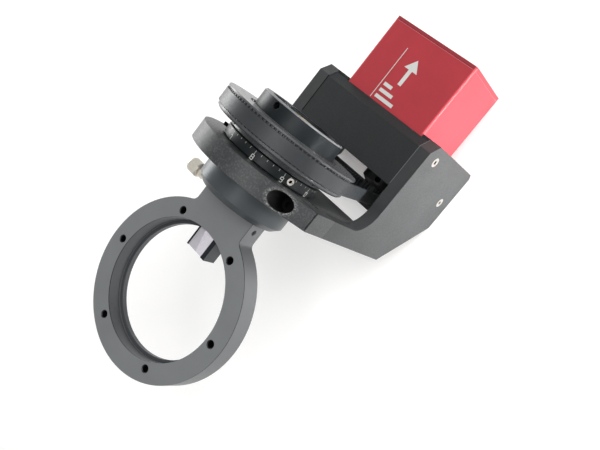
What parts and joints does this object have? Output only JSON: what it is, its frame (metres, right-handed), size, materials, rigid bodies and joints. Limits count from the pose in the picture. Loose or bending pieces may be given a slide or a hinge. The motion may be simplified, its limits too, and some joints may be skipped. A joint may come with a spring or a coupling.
{
  "type": "off-axis guider with belt-driven focuser",
  "caption": "Off-axis guider plate with a pick-off prism, a helical focuser turned by a toothed belt, and a motor box on a clamped bracket.",
  "frame": {"origin": "centre of the guider plate's bore, at mid thickness", "axes": "+Z is the optical axis leaving the plate's front face, +Y is the focuser axis pointing away from the plate, +X completes the right-handed set"},
  "size_m": [0.08, 0.1939, 0.1245],
  "materials": {
    "grey_anodised": "satin grey anodised",
    "black_anodised": "black anodised",
    "red_anodised": "red anodised",
    "dark_metal": "satin black paint",
    "motor_metal": "plated steel",
    "bright_steel": "nickel plated",
    "black_steel": "black oxide",
    "brass": "turned brass",
    "prism_glass": "polished glass",
    "belt_rubber": "matte neoprene",
    "printed_plastic": "printed black plastic",
    "board_green": "solder mask",
    "socket_plastic": "moulded black"
  },
  "bodies": {
    "guider": {"guider_plate": "grey_anodised", "stalk_set_screw": "black_steel", "focuser_base": "grey_anodised", "base_screws": "black_steel", "guide_key": "bright_steel", "retaining_ring": "bright_steel", "timing_belt": "belt_rubber", "clamp_bracket": "printed_plastic", "bracket_cheeks": "printed_plastic", "clamp_screw": "black_steel", "clamp_nut": "bright_steel", "motor_cradle": "printed_plastic", "cheek_screws": "bright_steel", "motor_case": "red_anodised", "gear_plate": "dark_metal", "mount_screws": "black_steel", "end_cap": "red_anodised", "cap_screws": "black_steel", "gearbox": "motor_metal", "stepper_motor": "motor_metal", "board_posts": "brass", "circuit_board": "board_green", "usb_socket": "bright_steel", "power_jack": "socket_plastic", "handset_socket": "socket_plastic"},
    "prism_arm": {"prism_stalk": "black_anodised", "prism": "prism_glass"},
    "stalk_lock": {"thumbscrew": "bright_steel"},
    "focus_ring": {"helicoid_sleeve": "black_anodised", "scale_ring": "black_anodised", "scale_lock_screw": "bright_steel", "index_pin": "black_steel", "drive_pulley": "printed_plastic", "pulley_set_screws": "black_steel"},
    "eyepiece_tube": {"draw_tube": "black_anodised", "compression_ring": "brass", "tube_set_screws": "black_steel"},
    "motor_drive": {"output_shaft": "bright_steel", "motor_pulley": "black_anodised", "motor_pulley_screws": "black_steel"}
  },
  "joints": [
    {"name": "focus_turn", "type": "hinge", "parent": "guider", "child": "focus_ring", "pos_m": [0, 0.08, 0], "axis": [0, 1, 0], "range_deg": [0, 324], "deforming": ["timing_belt"]},
    {"name": "draw_slide", "type": "slide", "parent": "guider", "child": "eyepiece_tube", "axis": [0, 1, 0], "range_m": [0, 0.009]},
    {"name": "motor_turn", "type": "hinge", "parent": "guider", "child": "motor_drive", "pos_m": [0.009, 0.08, -0.07085], "axis": [0, 1, 0], "range_deg": [0, 1620]},
    {"name": "prism_slide", "type": "slide", "parent": "guider", "child": "prism_arm", "axis": [0, 1, 0], "range_m": [-0.005, 0.004]},
    {"name": "lock_turn", "type": "hinge", "parent": "guider", "child": "stalk_lock", "pos_m": [-0.02, 0.0458, 0], "axis": [-1, 0, 0], "range_deg": [0, 360]}
  ],
  "couplings": [
    {"joint": "draw_slide", "follows": "focus_turn", "m_per_rad": 0.0015915},
    {"joint": "motor_turn", "follows": "focus_turn", "ratio": 5}
  ]
}
